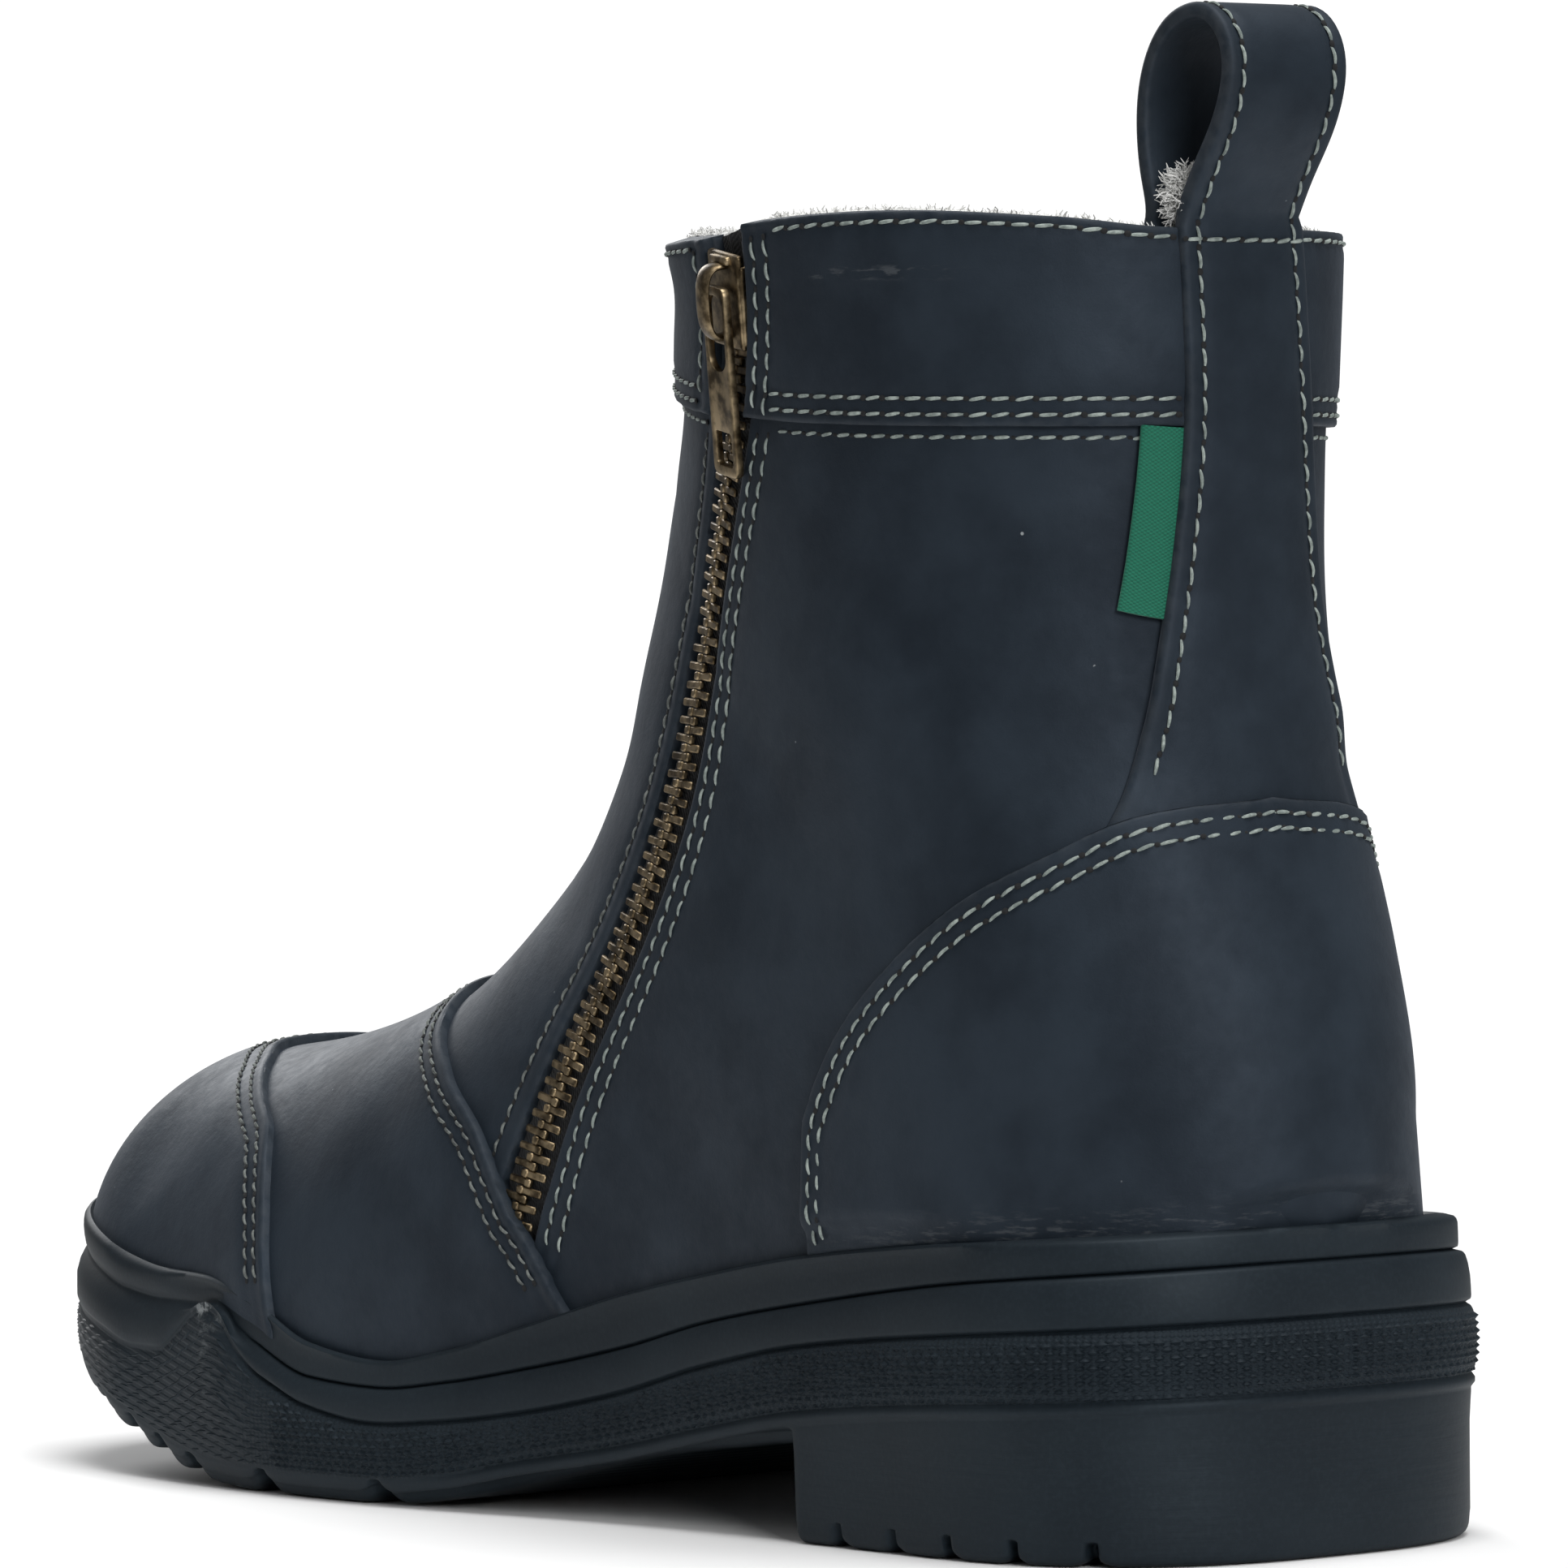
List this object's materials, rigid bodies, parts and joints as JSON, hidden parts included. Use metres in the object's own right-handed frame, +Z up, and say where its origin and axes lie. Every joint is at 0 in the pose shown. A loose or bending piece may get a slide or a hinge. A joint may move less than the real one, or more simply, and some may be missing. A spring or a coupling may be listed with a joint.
{
  "type": "jodhpur boot",
  "caption": "Left ankle riding boot: fleece-lined leather upper with toe cap, vamp, heel counter, side zip and back pull loop on a moulded lugged rubber sole.",
  "frame": {"origin": "on the floor under the middle of the sole's length and width", "axes": "+Z up, toe towards -Y, heel towards +Y, outer side of the foot towards +X"},
  "size_m": [0.0948, 0.2714, 0.202],
  "materials": {
    "leather": "blue-black oiled nubuck with a soft nap, a faint bloom and scuffed edges",
    "rubber": "blue-black moulded rubber, satin on the bands and knurled on the side",
    "fleece": "pale grey curled pile",
    "zip_tape": "black woven tape",
    "brass": "antique brass, worn bright on raised edges",
    "ribbon": "green woven ribbon, plain"
  },
  "bodies": {
    "boot": {"sole_unit": "rubber", "insole": "fleece", "upper": "leather", "toe_cap": "leather", "vamp": "leather", "heel_counter": "leather", "collar_band_outer": "leather", "collar_band_front": "leather", "back_strap": "leather", "zip_tape": "zip_tape", "zip_chain": "brass", "zip_slider": "brass", "label_tab": "ribbon"},
    "zip_pull": {"zip_pull": "brass"}
  },
  "joints": [
    {"name": "pull_tab_hinge", "type": "hinge", "parent": "boot", "child": "zip_pull", "pos_m": [0.04055, 0.05792, 0.16689], "axis": [-0.1504, -0.9745, 0.1667], "range_deg": [0, 155]}
  ]
}
